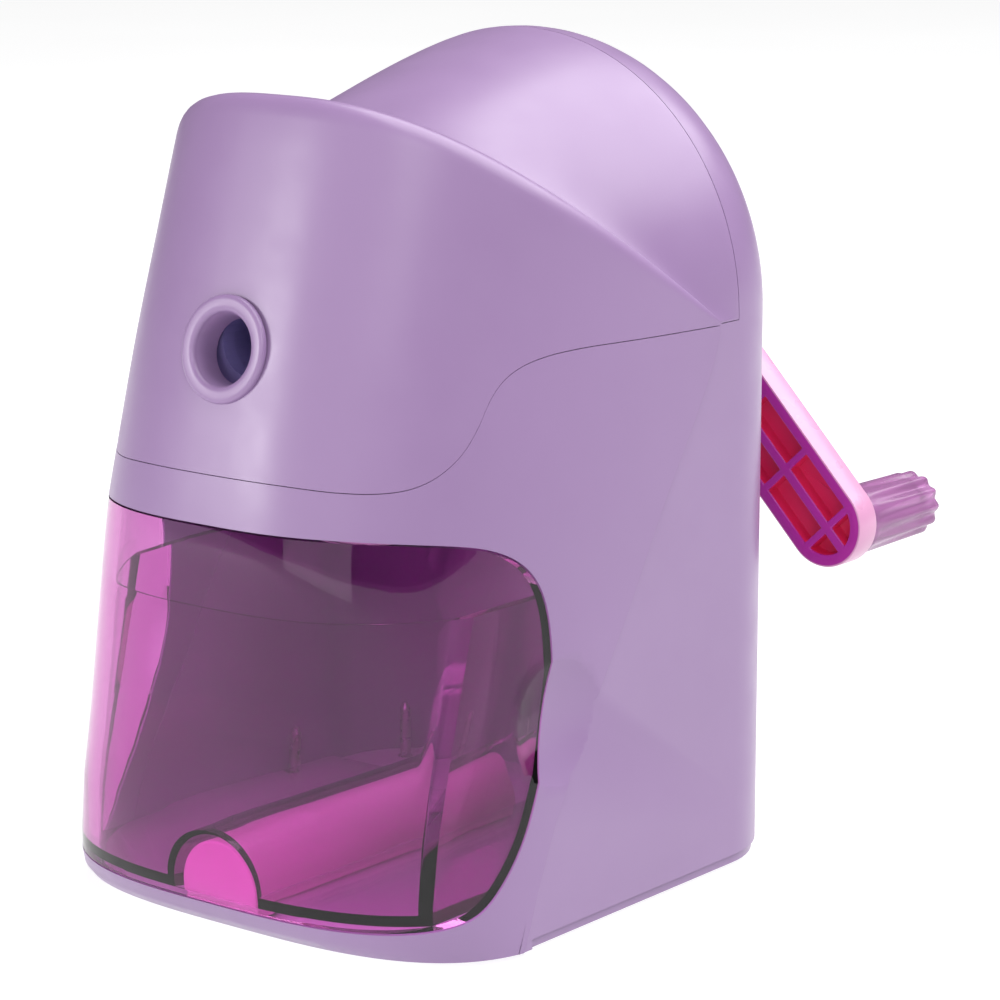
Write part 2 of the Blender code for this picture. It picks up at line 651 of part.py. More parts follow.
def build_arm(knob_place):
    """The arm lies along local X. Its front side is open between the rim and the ribs."""
    rim, rib, spine_width = 2.0, 1.2, 1.6
    place = at(0, 0, AXIS_Z) @ Matrix.Rotation(-ARM_ANGLE, 4, "Y")
    outline = capsule(ARM_LENGTH, ARM_RADIUS)
    arm = loft("crank_arm", [[(x, y, z) for x, z in outline] for y in (ARM_Y, ARM_Y + ARM_THICK)], pink())
    move(arm, place)
    inner = capsule(ARM_LENGTH, ARM_RADIUS - rim, 10)
    floor = ARM_Y + ARM_POCKET
    pocket = loft("arm_pocket", [[(x, y, z) for x, z in inner] for y in (ARM_Y - 3, floor)])
    move(pocket, place)
    boolean(arm, pocket)
    for index, x in enumerate((18.1, 29.9, 41.7, 53.5)):
        wall = box(f"arm_cross_rib_{index}", (x - rib / 2, ARM_Y, -5.6), (x + rib / 2, floor + 1, 5.6))
        move(wall, place)
        union(arm, wall)
    spine = box("arm_spine", (4.0, ARM_Y, -spine_width / 2), (ARM_LENGTH + 5.6, floor + 1, spine_width / 2))
    move(spine, place)
    union(arm, spine)
    union(arm, turned("arm_hub", [(REAR_Y + 1.9, 6.2), (ARM_Y + 4, 6.2)], None, 24))
    bore = SHAFT_RADIUS + GAP
    boolean(arm, turned("arm_shaft_bore", [(REAR_Y, bore), (ARM_Y + 3.0, bore)]))
    boolean(arm, turned("arm_screw_seat", [(ARM_Y + 2.6, bore), (ARM_Y + 2.95, 3.6), (ARM_Y + 9, 3.6)]))
    boolean(arm, turned("arm_pin_hole", [(ARM_Y + 3.3, 2.1), (ARM_Y + 9, 2.1)], None, 18, knob_place))


def build_knob(place, start):
    """A fluted knob. Its bore widens at the outer end, where the pin's head holds it on."""
    flutes, count, narrow, wide = 12, 48, 2.1, 3.3
    step = KNOB_LENGTH - 3.2
    profile = ((0, COLLAR_RADIUS - 0.4, narrow), (0.8, COLLAR_RADIUS, narrow), (6, COLLAR_RADIUS, narrow),
               (step - 0.2, KNOB_RADIUS, narrow), (step, KNOB_RADIUS, wide),
               (KNOB_LENGTH - 1.2, KNOB_RADIUS, wide), (KNOB_LENGTH, KNOB_RADIUS - 1.0, wide))
    outer, inner = [], []
    for distance, radius, bore in profile:
        depth = 0.0 if distance < 1 else 0.15 + 0.4 * distance / KNOB_LENGTH
        ring, hole = [], []
        for i in range(count):
            angle = 2 * math.pi * i / count
            here = radius - depth * (0.5 - 0.5 * math.cos(flutes * angle))
            ring.append((here * math.cos(angle), start + distance, here * math.sin(angle)))
            hole.append((bore * math.cos(angle), start + distance, bore * math.sin(angle)))
        outer.append(ring)
        inner.append(hole)
    look = material("clear_violet", (0.55, 0.3, 0.55), 0.12, alpha=0.7)
    move(tube_loft("crank_knob", outer, inner, look), place)


def main():
    clear_scene()
    bpy.context.scene.unit_settings.scale_length = 1.0
    build_main_body()
    build_top_cover()
    build_inlet()
    build_base()
    build_drawer()
    build_frame()
    build_cutter()
    build_carrier()
    build_crank()


main()
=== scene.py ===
"""Looks of the hand-crank pencil sharpener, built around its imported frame. Sizes are in millimetres."""

import json
import math

import bmesh
import bpy
import numpy as np
from mathutils import Matrix, Vector

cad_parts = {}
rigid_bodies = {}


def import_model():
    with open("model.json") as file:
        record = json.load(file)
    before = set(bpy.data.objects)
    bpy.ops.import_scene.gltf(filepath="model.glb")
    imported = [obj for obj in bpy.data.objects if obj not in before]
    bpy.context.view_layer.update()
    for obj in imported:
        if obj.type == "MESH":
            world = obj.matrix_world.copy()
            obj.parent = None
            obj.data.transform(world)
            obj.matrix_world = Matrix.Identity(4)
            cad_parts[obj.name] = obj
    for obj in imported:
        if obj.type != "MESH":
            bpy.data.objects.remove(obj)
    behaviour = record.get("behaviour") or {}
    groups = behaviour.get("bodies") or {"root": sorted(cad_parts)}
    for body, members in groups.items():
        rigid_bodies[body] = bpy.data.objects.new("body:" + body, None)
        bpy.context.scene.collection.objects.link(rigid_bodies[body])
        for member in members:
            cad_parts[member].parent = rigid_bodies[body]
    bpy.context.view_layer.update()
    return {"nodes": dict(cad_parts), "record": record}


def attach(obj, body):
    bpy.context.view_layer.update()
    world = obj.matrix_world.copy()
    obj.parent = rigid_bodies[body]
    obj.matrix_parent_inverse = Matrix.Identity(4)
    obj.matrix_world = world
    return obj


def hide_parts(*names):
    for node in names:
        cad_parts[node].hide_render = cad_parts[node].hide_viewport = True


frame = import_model()

MM = 0.001
GAP = 0.3
MERGE = 0.02
BEYOND_SIDE = 60
BEYOND_FRONT_Y = -60
BEYOND_BACK_Y = 60
BELOW_Z = -5

# Body
HALF_WIDTH = 41.5
AXIS_Z = 87.0
FLOOR_Z = 0.8
WALL = 2.2
REAR_Y = 47.0
REAR_FILLET = 17.0
BAND_Y = 29.0
MASK_PROUD = 0.8
SHAFT_HOLE = 5.6
INLET_HOLE = 6.5
INLET_Y = -40.0
INLET_LEAN = math.radians(-12.5)
RIM_FRONT_Y = -21.5
RIM_TOP_Z = 2.3
RIM_DEPTH = 0.55

# Side view of the front, as (z, y) from the bottom up, and of the crease where the front meets the sides
FRONT_LINE = ((0.8, -41.0), (3, -44.0), (8, -45.8), (30, -46.6), (60, -45.8), (70, -43.9), (87, -40.0),
              (105, -34.6), (124.3, -28.5))
CREASE_LINE = ((0.8, -23.6), (4, -22.3), (14, -18.6), (24, -13.3), (36, -6.2), (48, 1.4), (60, 8.4),
               (70, 14.8), (76, 18.6), (81, 21.3), (84.5, 22.7), (87, 23.0))
CREASE_TURN = 0.25
RIDGE_ROUND = 5.0
RIDGE_FOOT_BACK = 0.25
LIP = 0.95
SADDLE_SAG = 13.7

# Parting line between cover and body, as (y, z) in side view
PARTING_LINE = ((-70, 69.3), (-44, 69.3), (-40, 68.7), (-36, 68.6), (-32.5, 69.2), (-29, 70.9),
                (-25.6, 73.8), (-23.3, 76.9), (-21.1, 80.6), (-19, 83.0), (-16, 84.8), (-12, 85.9),
                (-7.5, 86.4), (-2, 86.6), (BAND_Y, 86.6))
PARTING_STEPS = 90
SEAM = 0.12

# Drawer window in side view, from its front bottom corner round to its front top corner
WINDOW_LINE = ((-70, 5.2), (-44, 5.2), (-38, 5.6), (-33, 6.4), (-29.4, 8.2), (-25.4, 12.6), (-22, 17.8),
               (-18.9, 25), (-16.5, 32), (-15.1, 39), (-14.7, 46), (-15.2, 51), (-16.6, 54.6), (-18.8, 57.1),
               (-22, 59.1), (-26.6, 60.5), (-35, 61.6), (-45, 62.5), (-70, 62.5))
SKIN = 2.0
TRAY_HALF_WIDTH = 33.6
TRAY_BACK_Y = 20.0
TRAY_FLOOR_Z = 6.4
TRAY_TOP_Z = 50.0
TRAY_WALL = 1.6
RAIL_HALF_WIDTH = 7.2
RAIL_TOP_Z = 14.6
RAIL_FOOT_Z = 4.3
RAIL_FRONT_Y = -41.6
RAIL_BACK_Y = 17.0

# Finger hollow on each side, across the drawer's rear edge, as (distance from the middle, y, z)
HOLLOW_FLOOR = (38.8, -18.6, 35.2)
HOLLOW_RADIUS = 27.0
HOLLOW_COLUMNS = 160

# Crank
ARM_LENGTH = 52.8
KNOB_REACH = 53.6
ARM_ANGLE = math.radians(-46.5)
ARM_Y = 61.0
ARM_THICK = 5.0
ARM_RADIUS = 7.0
ARM_POCKET = 2.6
ARM_RIBS = (6.3, 18.1, 29.9, 41.7, 53.5)
KNOB_LENGTH = 21.0
KNOB_RADIUS = 5.4
COLLAR_RADIUS = 5.6
SHAFT_RADIUS = 3.0

# Studio. Each lamp has a name, a place and a size in metres, a power, and a point in metres that it faces
FLOOR_REACH = 3000
FLOOR_GLOW = 0.86
SKY_STRENGTH = 0.12
MIDDLE = (0, 0, 0.06)
LAMPS = (("key", (-0.5, -0.85, 0.3), 0.3, 4.2, MIDDLE),
         ("front_fill", (0.2, -1.05, 0.4), 0.9, 2.4, MIDDLE),
         ("side_fill", (0.75, -0.75, 0.7), 0.4, 2.6, MIDDLE),
         ("top", (0.3, 0.35, 1.0), 1.4, 26, MIDDLE),
         ("inner_bounce", (0, -0.012, 0.064), 0.04, 0.012, (0, 0, 0)))
CAMERA_PLACE = (346.05, -413.3, 174.7)
CAMERA_TURN = math.radians(38.4)
CAMERA_TILT = math.radians(12.2)
CAMERA_LENS = 129.6

# ---------------------------------------------------------------- meshes


def to_mesh(name, points, faces):
    mesh = bpy.data.meshes.new(name)
    mesh.from_pydata([tuple(c * MM for c in p) for p in points], [], faces)
    shape = bmesh.new()
    shape.from_mesh(mesh)
    bmesh.ops.recalc_face_normals(shape, faces=shape.faces)
    if shape.calc_volume(signed=True) < 0:
        bmesh.ops.reverse_faces(shape, faces=shape.faces)
    shape.to_mesh(mesh)
    shape.free()
    return mesh


def add(name, mesh):
    """Every shape starts as a hidden helper. show() turns it into a piece."""
    obj = bpy.data.objects.new(name, mesh)
    bpy.context.scene.collection.objects.link(obj)
    obj.hide_render = True
    obj.display_type = "WIRE"
    return obj


def show(obj):
    obj.hide_render = False
    obj.display_type = "TEXTURED"


def loft(name, rings):
    """A closed solid through rings that have the same number of points."""
    count = len(rings[0])
    points = [p for ring in rings for p in ring]
    faces = [list(range(count)), list(range(len(points) - count, len(points)))[::-1]]
    for row in range(len(rings) - 1):
        for i in range(count):
            j = (i + 1) % count
            a, b = row * count, (row + 1) * count
            faces.append((a + j, a + i, b + i, b + j))
    return add(name, to_mesh(name, points, faces))


def tube_loft(name, outer, inner):
    """A closed solid between outer rings and inner rings, which have the same counts."""
    count, rows = len(outer[0]), len(outer)
    points = [p for ring in outer + inner for p in ring]
    faces = []
    for i in range(count):
        j = (i + 1) % count
        for row in range(rows - 1):
            a, b = row * count, (row + 1) * count
            c, d = a + rows * count, b + rows * count
            faces.append((a + j, a + i, b + i, b + j))
            faces.append((c + i, c + j, d + j, d + i))
        last, inner_last = (rows - 1) * count, (2 * rows - 1) * count
        faces.append((i, j, j + rows * count, i + rows * count))
        faces.append((last + j, last + i, inner_last + i, inner_last + j))
    return add(name, to_mesh(name, points, faces))


def box(name, low, high):
    ring = [(low[0], low[1]), (high[0], low[1]), (high[0], high[1]), (low[0], high[1])]
    return loft(name, [[(x, y, z) for x, y in ring] for z in (low[2], high[2])])


def side_prism(name, outline, half_width):
    """A (y, z) outline extruded across the body."""
    return loft(name, [[(x, y, z) for y, z in outline] for x in (-half_width, half_width)])


def circle(radius, count):
    angles = [2 * math.pi * i / count for i in range(count)]
    return [(radius * math.cos(a), radius * math.sin(a)) for a in angles]


def at(x, y, z):
    return Matrix.Translation(Vector((x, y, z)) * MM)


def turned_rings(profile, count):
    return [[(x, y, z) for x, z in circle(radius, count)] for y, radius in profile]


def turned(name, profile, count):
    """A solid turned about the Y axis at AXIS_Z, from (y, radius) pairs."""
    made = loft(name, turned_rings(profile, count))
    made.matrix_world = at(0, 0, AXIS_Z)
    return made


def ring_turned(name, outer, inner, count, place):
    """A ring turned about the local Y axis of place, from an outer and an inner line of (y, radius)."""
    made = tube_loft(name, turned_rings(outer, count), turned_rings(inner, count))
    made.matrix_world = place
    return made


def boolean(obj, cutter, operation="DIFFERENCE"):
    step = obj.modifiers.new(f"{operation.lower()} {cutter.name}", "BOOLEAN")
    step.operation = operation
    step.solver = "EXACT"
    step.object = cutter


def union(obj, other):
    boolean(obj, other, "UNION")


# ---------------------------------------------------------------- outer form


def along(line, where):
    """A smooth value along a line of (position, value) knots, without overshoot."""
    x, y = (np.array(c, float) for c in zip(*line))
    step = np.diff(x)
    slope = np.diff(y) / step
    tangent = np.concatenate([slope[:1], (slope[:-1] + slope[1:]) / 2, slope[-1:]])
    k = int(np.clip(np.searchsorted(x, where) - 1, 0, len(step) - 1))
    t = min(max((where - x[k]) / step[k], 0), 1)
    blend = (2 * t**3 - 3 * t**2 + 1, t**3 - 2 * t**2 + t, 3 * t**2 - 2 * t**3, t**3 - t**2)
    return float(blend[0] * y[k] + blend[1] * step[k] * tangent[k]
                 + blend[2] * y[k + 1] + blend[3] * step[k] * tangent[k + 1])


def crease_height(z):
    """The height on the crease of the section that reaches height z on the front's centre line."""
    knee, top, crest = 50.0, CREASE_LINE[-1][0], FRONT_LINE[-1][0]
    if z <= knee:
        return z
    return knee + (top - knee) * (1 - (1 - (z - knee) / (crest - knee)) ** 2)


def mask_section(z, inset, turns):
    """One section of the front, from the left crease round the centre line to the right crease."""
    rise = max(z, FLOOR_Z) / FRONT_LINE[-1][0]
    end_z = crease_height(z)
    end = np.array((along(CREASE_LINE, end_z), end_z))
    centre = np.array((along(FRONT_LINE, z) + inset, z))
    if z >= FRONT_LINE[-1][0]:
        centre[1] -= inset
    half = HALF_WIDTH + 0.15 + MASK_PROUD * rise - inset
    power = 2 / (3.1 - 0.4 * rise)
    first = math.sin(CREASE_TURN) ** power
    ring = []
    for turn in turns:
        here = CREASE_TURN + turn * (1 - 2 * CREASE_TURN / math.pi)
        across = -half * math.copysign(abs(math.cos(here) / math.cos(CREASE_TURN)) ** power, math.cos(here))
        y, z_here = end + (centre - end) * (math.sin(here) ** power - first) / (1 - first)
        ring.append(np.array((across, y, z_here)))
    return ring


def arch_section(y, inset, turns):
    radius = HALF_WIDTH - inset
    return [np.array((-radius * math.cos(t), y, AXIS_Z + radius * math.sin(t))) for t in turns]


def saddle_section(ridge, arch, part, turns, lip=LIP):
    """One section of the scooped top, between the ridge and the full arch."""
    sag = SADDLE_SAG * (1 - part) ** 1.3 * (1 - math.exp(-part / 0.15))
    ring = []
    for start, stop, turn in zip(ridge, arch, turns):
        point = start + (stop - start) * part
        inward = np.array((0, 0, AXIS_Z)) - point
        inward[1] = 0
        depth = sag * math.sin(turn) ** 0.8 + lip * (1 - part)
        ring.append(point + inward / max(np.linalg.norm(inward), 1) * depth)
    return ring


def front_form(name, inset=0.0, bottom=FLOOR_Z, columns=97, rows=44):
    """The front, the hood's rounded ridge and the saddle behind it, as one closed solid."""
    turns = [math.pi * i / (columns - 1) for i in range(columns)]
    turns[0], turns[-1] = 0.0, math.pi
    crest = FRONT_LINE[-1][0]
    heights = [FLOOR_Z, 3, 5.6, 9] + list(np.linspace(18, 96, rows - 6)) + [106, 115]
    sections = [mask_section(z, inset, turns) for z in heights]
    sections[0] = [np.array((p[0], p[1], bottom)) for p in sections[0]]
    ridge = mask_section(crest, inset, turns)
    arch = arch_section(BAND_Y, inset, turns)
    first = saddle_section(ridge, arch, 0.12, turns, 0.0)
    before, after = [], []
    for corner, front, back, turn in zip(ridge, sections[-1], first, turns):
        reach = RIDGE_ROUND * math.sin(turn) ** 0.6
        for line, way in ((before, front - corner), (after, back - corner)):
            line.append(corner + way * min(reach / max(np.linalg.norm(way), 1e-6), 0.9))
    for part in np.linspace(0, 1, 9):
        ends = ((1 - part) ** 2, 2 * part * (1 - part), part**2)
        sections.append([ends[0] * a + ends[1] * b + ends[2] * c for a, b, c in zip(before, ridge, after)])
    foot = []
    for point in after:
        inward = np.array((0, point[1], AXIS_Z)) - point
        foot.append(point + inward / np.linalg.norm(inward) * LIP + np.array((0, RIDGE_FOOT_BACK, 0)))
    sections.append(foot)
    for part in np.linspace(0.16, 1, 22):
        sections.append(saddle_section(ridge, arch, part, turns))
    return loft(name, sections)


def side_form(name, inset=0.0, bottom=FLOOR_Z):
    """The flat sides behind the crease, up to the level of the crank's axis."""
    heights = [bottom] + [float(z) for z in np.linspace(6, 86, 41)] + [AXIS_Z - 0.02]
    outline = [(along(CREASE_LINE, z) - 1.0, z) for z in heights]
    outline += [(BAND_Y + 1, AXIS_Z - 0.02), (BAND_Y + 1, bottom)]
    return side_prism(name, outline, HALF_WIDTH - inset)


def rear_form(name, inset=0.0, bottom=FLOOR_Z, columns=97):
    """The rear arch with its rounded edge, down to the floor."""
    turns = [math.pi * i / (columns - 1) for i in range(columns)]
    start = REAR_Y - REAR_FILLET
    round_radius = REAR_FILLET - inset
    rings = [(BAND_Y - 0.6 * bool(inset), 0.0)]
    for i in range(17):
        angle = math.pi / 2 * i / 16
        rings.append((start + round_radius * math.sin(angle), round_radius * (1 - math.cos(angle))))
    sections = []
    for y, narrower in rings:
        arch = arch_section(y, inset + narrower, turns)
        sections.append([(arch[0][0], y, bottom)] + arch + [(arch[-1][0], y, bottom)])
    return loft(name, sections)


def parting_prism(name, lift):
    """The space of the top cover, above the parting line raised by lift."""
    front, high = PARTING_LINE[0][0], 150
    start, stop = PARTING_LINE[1][0], PARTING_LINE[-2][0]
    low = [(front, PARTING_LINE[0][1] + lift)]
    for y in np.linspace(start, stop, PARTING_STEPS):
        low.append((float(y), along(PARTING_LINE, y) + lift))
    back = BAND_Y - lift
    outline = low + [(back, PARTING_LINE[-1][1] + lift), (back, high), (front, high)]
    return side_prism(name, outline, BEYOND_SIDE)


def softened(line):
    """An open line with its corners cut three times, so that it reads as a curve."""
    for _ in range(3):
        cut = [line[0]]
        for start, stop in zip(line, line[1:]):
            for part in (0.25, 0.75):
                cut.append(tuple(a + (b - a) * part for a, b in zip(start, stop)))
        line = cut + [line[-1]]
    return line


def window_prism(name, inset):
    """The drawer's window, seen from the side and cut right across the front."""
    line = softened(WINDOW_LINE)
    outline = []
    for index, here in enumerate(line):
        before, after = line[index - 1], line[(index + 1) % len(line)]
        run = np.array(after) - np.array(before)
        inward = np.array((-run[1], run[0])) / np.linalg.norm(run)
        outline.append(tuple(np.array(here) + inward * inset))
    return side_prism(name, outline, BEYOND_SIDE)


def finger_hollow(name, side):
    """A ball that cuts the hollow of one side, 1 for the right and -1 for the left."""
    distance, y, z = HOLLOW_FLOOR
    mesh = bpy.data.meshes.new(name)
    shape = bmesh.new()
    bmesh.ops.create_uvsphere(shape, u_segments=HOLLOW_COLUMNS, v_segments=HOLLOW_COLUMNS,
                              radius=HOLLOW_RADIUS * MM)
    shape.to_mesh(mesh)
    shape.free()
    obj = add(name, mesh)
    obj.matrix_world = at(side * (distance + HOLLOW_RADIUS), y, z)
    return obj


# ---------------------------------------------------------------- finished surfaces


def settle(obj, rounding=0.0, sharp=38, segments=2):
    """Replaces an object's modifiers and place with its final mesh, with its hard edges rounded."""
    graph = bpy.context.evaluated_depsgraph_get()
    mesh = bpy.data.meshes.new_from_object(obj.evaluated_get(graph))
    mesh.name = obj.name
    mesh.transform(obj.matrix_world)
    shape = bmesh.new()
    shape.from_mesh(mesh)
    bmesh.ops.remove_doubles(shape, verts=shape.verts, dist=MERGE * MM)
    bmesh.ops.dissolve_degenerate(shape, dist=MERGE * MM, edges=shape.edges)
    if rounding:
        edges = [edge for edge in shape.edges
                 if len(edge.link_faces) == 2 and edge.calc_face_angle(0) >= math.radians(sharp)]
        bmesh.ops.bevel(shape, geom=edges, offset=rounding * MM, segments=segments, profile=0.6,
                        affect="EDGES", clamp_overlap=False)
    shape.to_mesh(mesh)
    shape.free()
    obj.modifiers.clear()
    obj.data = mesh
    obj.matrix_world = Matrix.Identity(4)
    mesh.shade_smooth()
    mesh.set_sharp_from_angle(angle=math.radians(sharp))
    bpy.context.view_layer.update()


def clear_helpers():
    """Deletes the shapes that only cut or joined others."""
    for obj in list(bpy.data.objects):
        if obj.display_type == "WIRE" and obj.type == "MESH":
            bpy.data.objects.remove(obj, do_unlink=True)


# ---------------------------------------------------------------- materials


class Nodes:
    """A material's node tree, with short ways to add nodes and to join them."""

    def __init__(self, name):
        self.material = bpy.data.materials.new(name)
        self.material.use_nodes = True
        self.tree = self.material.node_tree
        self.shader = self.tree.nodes["Principled BSDF"]
        self.output = self.tree.nodes["Material Output"]

    def add(self, kind, values=(), **settings):
        node = self.tree.nodes.new(kind)
        for key, value in settings.items():
            setattr(node, key, value)
        for key, value in dict(values).items():
            node.inputs[key].default_value = value
        return node

    def join(self, source, target):
        self.tree.links.new(source, target)

    def noise(self, scale, detail):
        where = self.add("ShaderNodeTexCoord")
        noise = self.add("ShaderNodeTexNoise", {"Scale": scale, "Detail": detail})
        self.join(where.outputs["Object"], noise.inputs["Vector"])
        return noise.outputs["Fac"]

    def spread(self, factor, low, high):
        """Maps the middle part of a noise, where nearly all of its values lie, to low to high."""
        limits = {"From Min": 0.3, "From Max": 0.7, "To Min": low, "To Max": high}
        node = self.add("ShaderNodeMapRange", limits)
        self.join(factor, node.inputs["Value"])
        return node.outputs["Result"]

    def colors(self, factor, first, second):
        node = self.add("ShaderNodeMix", data_type="RGBA")
        node.inputs["A"].default_value = (*first, 1)
        node.inputs["B"].default_value = (*second, 1)
        self.join(factor, node.inputs["Factor"])
        return node.outputs["Result"]

    def bump(self, height, strength, distance):
        node = self.add("ShaderNodeBump", {"Strength": strength, "Distance": distance * MM})
        self.join(height, node.inputs["Height"])
        self.join(node.outputs["Normal"], self.shader.inputs["Normal"])


def srgb(red, green, blue):
    """A linear colour from screen values of 0 to 255."""
    def linear(value):
        value /= 255
        return value / 12.92 if value <= 0.04045 else ((value + 0.055) / 1.055) ** 2.4
    return tuple(linear(v) for v in (red, green, blue))


def shade(color, factor):
    return tuple(min(c * factor, 1.0) for c in color)


def moulded(name, color, low=0.32, high=0.42):
    """Injection-moulded plastic: faint flow clouds, a fine spark-eroded grain and uneven gloss."""
    made = Nodes(name)
    clouds = made.spread(made.noise(28, 4), 0, 1)
    made.join(made.colors(clouds, shade(color, 0.975), shade(color, 1.025)),
              made.shader.inputs["Base Color"])
    made.join(made.spread(made.noise(160, 3), low, high), made.shader.inputs["Roughness"])
    made.bump(made.noise(2600, 2), 0.25, 0.02)
    made.shader.inputs["Coat Weight"].default_value = 0.25
    made.shader.inputs["Coat Roughness"].default_value = 0.3
    made.shader.inputs["Specular IOR Level"].default_value = 0.45
    return made.material


def tinted_clear(name, tint, absorb, density, roughness, clearness, lamp_tint, shine):
    """Clear plastic whose colour deepens with the length that light travels in it.

    absorb and density set that colour, tint is the surface's own, and lamp_tint colours the light of lamps
    that falls through.
    """
    made = Nodes(name)
    made.shader.inputs["Base Color"].default_value = (*tint, 1)
    made.shader.inputs["Transmission Weight"].default_value = clearness
    made.shader.inputs["IOR"].default_value = 1.46
    made.join(made.spread(made.noise(120, 3), roughness, roughness + 0.02), made.shader.inputs["Roughness"])
    made.shader.inputs["Specular IOR Level"].default_value = shine
    for_lamps = made.add("ShaderNodeBsdfTransparent")
    for_lamps.inputs["Color"].default_value = (*[math.sqrt(c) for c in lamp_tint], 1)
    mix = made.add("ShaderNodeMixShader")
    made.join(made.add("ShaderNodeLightPath").outputs["Is Shadow Ray"], mix.inputs[0])
    made.join(made.shader.outputs[0], mix.inputs[1])
    made.join(for_lamps.outputs[0], mix.inputs[2])
    made.join(mix.outputs[0], made.output.inputs["Surface"])
    volume = made.add("ShaderNodeVolumeAbsorption")
    volume.inputs["Color"].default_value = (*absorb, 1)
    volume.inputs["Density"].default_value = density
    made.join(volume.outputs["Volume"], made.output.inputs["Volume"])
    return made.material


def metal(name, color, low, high):
    """Turned metal with fine scratches and a little tarnish."""
    made = Nodes(name)
    made.join(made.colors(made.spread(made.noise(90, 4), 0, 1), shade(color, 0.85), color),
              made.shader.inputs["Base Color"])
    made.shader.inputs["Metallic"].default_value = 1.0
    made.join(made.spread(made.noise(900, 3), low, high), made.shader.inputs["Roughness"])
    made.bump(made.noise(1800, 2), 0.3, 0.02)
    return made.material


def rubber(name):
    """Matt, dark and a little uneven."""
    made = Nodes(name)
    clouds = made.spread(made.noise(200, 4), 0, 1)
    made.join(made.colors(clouds, (0.03, 0.03, 0.035), (0.06, 0.06, 0.065)),
              made.shader.inputs["Base Color"])
    made.join(made.spread(made.noise(400, 3), 0.7, 0.9), made.shader.inputs["Roughness"])
    made.bump(made.noise(1500, 3), 0.6, 0.05)
    return made.material


LOOKS = {
    "lavender": moulded("lavender_plastic", srgb(147, 119, 161)),
    "arm_side": moulded("light_pink_plastic", srgb(212, 152, 190), 0.25, 0.35),
    # Painted shade: the next two are darker copies of the arm's pink plastic, for its forward faces and
    # pocket floors in shade
    "arm_face_painted_shade": moulded("arm_pink_painted_shade_magenta", srgb(172, 36, 150), 0.3, 0.4),
    "arm_floor_painted_shade": moulded("arm_pink_painted_shade_red", srgb(222, 36, 92), 0.3, 0.4),
    "rail": moulded("pink_plastic", srgb(250, 196, 232), 0.3, 0.4),
    "guide": moulded("violet_grey_plastic", srgb(120, 110, 165), 0.4, 0.5),
    "grey": moulded("grey_plastic", srgb(215, 212, 224), 0.4, 0.55),
    "drawer": tinted_clear("clear_magenta", (0.91, 0.68, 0.89), (0.69, 0.0, 0.58), 225, 0.0, 1.0,
                           (0.97, 0.72, 0.97), 0.5),
    "knob": tinted_clear("clear_violet", (0.50, 0.24, 0.48), (0.72, 0.30, 0.66), 110, 0.22, 0.6,
                         (0.6, 0.4, 0.6), 0.4),
    "steel": metal("steel", (0.62, 0.62, 0.64), 0.22, 0.4),
    "brass": metal("brass", (0.78, 0.57, 0.28), 0.25, 0.4),
    "rubber": rubber("dark_rubber"),
}


def dress(obj, look):
    obj.data.materials.clear()
    obj.data.materials.append(LOOKS[look])


def take(obj, body, slot, *nodes):
    """Says which body a piece moves with, and the CAD nodes that it draws. Its slot argument, the material
    slot, is not used.
    """
    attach(obj, body)
    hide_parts(*nodes)


# ---------------------------------------------------------------- housing


def shell(name):
    """The whole hollow form, before it is parted."""
    form = front_form(name)
    for part in (side_form(f"{name}_sides"), rear_form(f"{name}_rear")):
        union(form, part)
    for part in (front_form(f"{name}_front_hollow", WALL, BELOW_Z, columns=41, rows=20),
                 side_form(f"{name}_side_hollow", WALL, BELOW_Z),
                 rear_form(f"{name}_rear_hollow", WALL, BELOW_Z, columns=41)):
        boolean(form, part)
    return form


def main_body():
    body = shell("main_body_shell")
    boolean(body, parting_prism("cover_space", 0.0))
    boolean(body, window_prism("window", 0.0))
    for side in (-1, 1):
        boolean(body, finger_hollow(f"body_hollow_{side}", side))
    boolean(body, turned("shaft_hole", [(REAR_Y - 8, SHAFT_HOLE), (REAR_Y + 5, SHAFT_HOLE)], 48))
    rim = box("rim_step", (-BEYOND_SIDE, RIM_FRONT_Y, -2), (BEYOND_SIDE, BEYOND_BACK_Y, RIM_TOP_Z))
    boolean(rim, side_form("rim_core", RIM_DEPTH, BELOW_Z))
    boolean(rim, rear_form("rim_core_rear", RIM_DEPTH, BELOW_Z))
    boolean(body, rim)
    show(body)
    settle(body)
    dress(body, "lavender")
    take(body, "housing", "lavender_plastic", "main_body")


def top_cover():
    cover = shell("top_cover_shell")
    boolean(cover, parting_prism("cover_region", SEAM), "INTERSECT")
    boolean(cover, turned("inlet_hole", [(BEYOND_FRONT_Y, INLET_HOLE), (-25, INLET_HOLE)], 64))
    show(cover)
    settle(cover)
    dress(cover, "lavender")
    take(cover, "housing", "lavender_plastic", "top_cover")


def inlet():
    """The raised ring round the pencil hole, leaning with the front. Distances run into the body."""
    place = at(0, INLET_Y, AXIS_Z) @ Matrix.Rotation(INLET_LEAN, 4, "X")
    outer = [(3.6, 6.1), (-0.05, 6.1), (-0.05, 7.9), (-0.3, 7.9)]
    inner = [(3.6, 4.8), (1.5, 4.95), (0.6, 5.1), (0.0, 5.3)]
    steps = 6
    for step in range(steps + 1):
        angle = math.pi / 2 * step / steps
        outer.append((-0.3 - 0.65 * math.sin(angle), 7.1 + 0.8 * math.cos(angle)))
        inner.append((-0.1 - 0.85 * math.sin(angle), 6.3 - 0.95 * math.cos(angle)))
    bezel = ring_turned("inlet_bezel_ring", outer, inner, 96, place)
    show(bezel)
    settle(bezel, sharp=50)
    dress(bezel, "lavender")
    take(bezel, "housing", "lavender_plastic", "inlet_bezel")


# ---------------------------------------------------------------- drawer


def dome_ring(half, top, low, count=33):
    """An (x, z) outline with straight sides under a half circle."""
    shoulder = top - half
    arc = [math.pi * i / (count - 1) for i in range(count)]
    dome = [(-half * math.cos(t), shoulder + half * math.sin(t)) for t in arc]
    return [(-half, low)] + dome + [(half, low)]


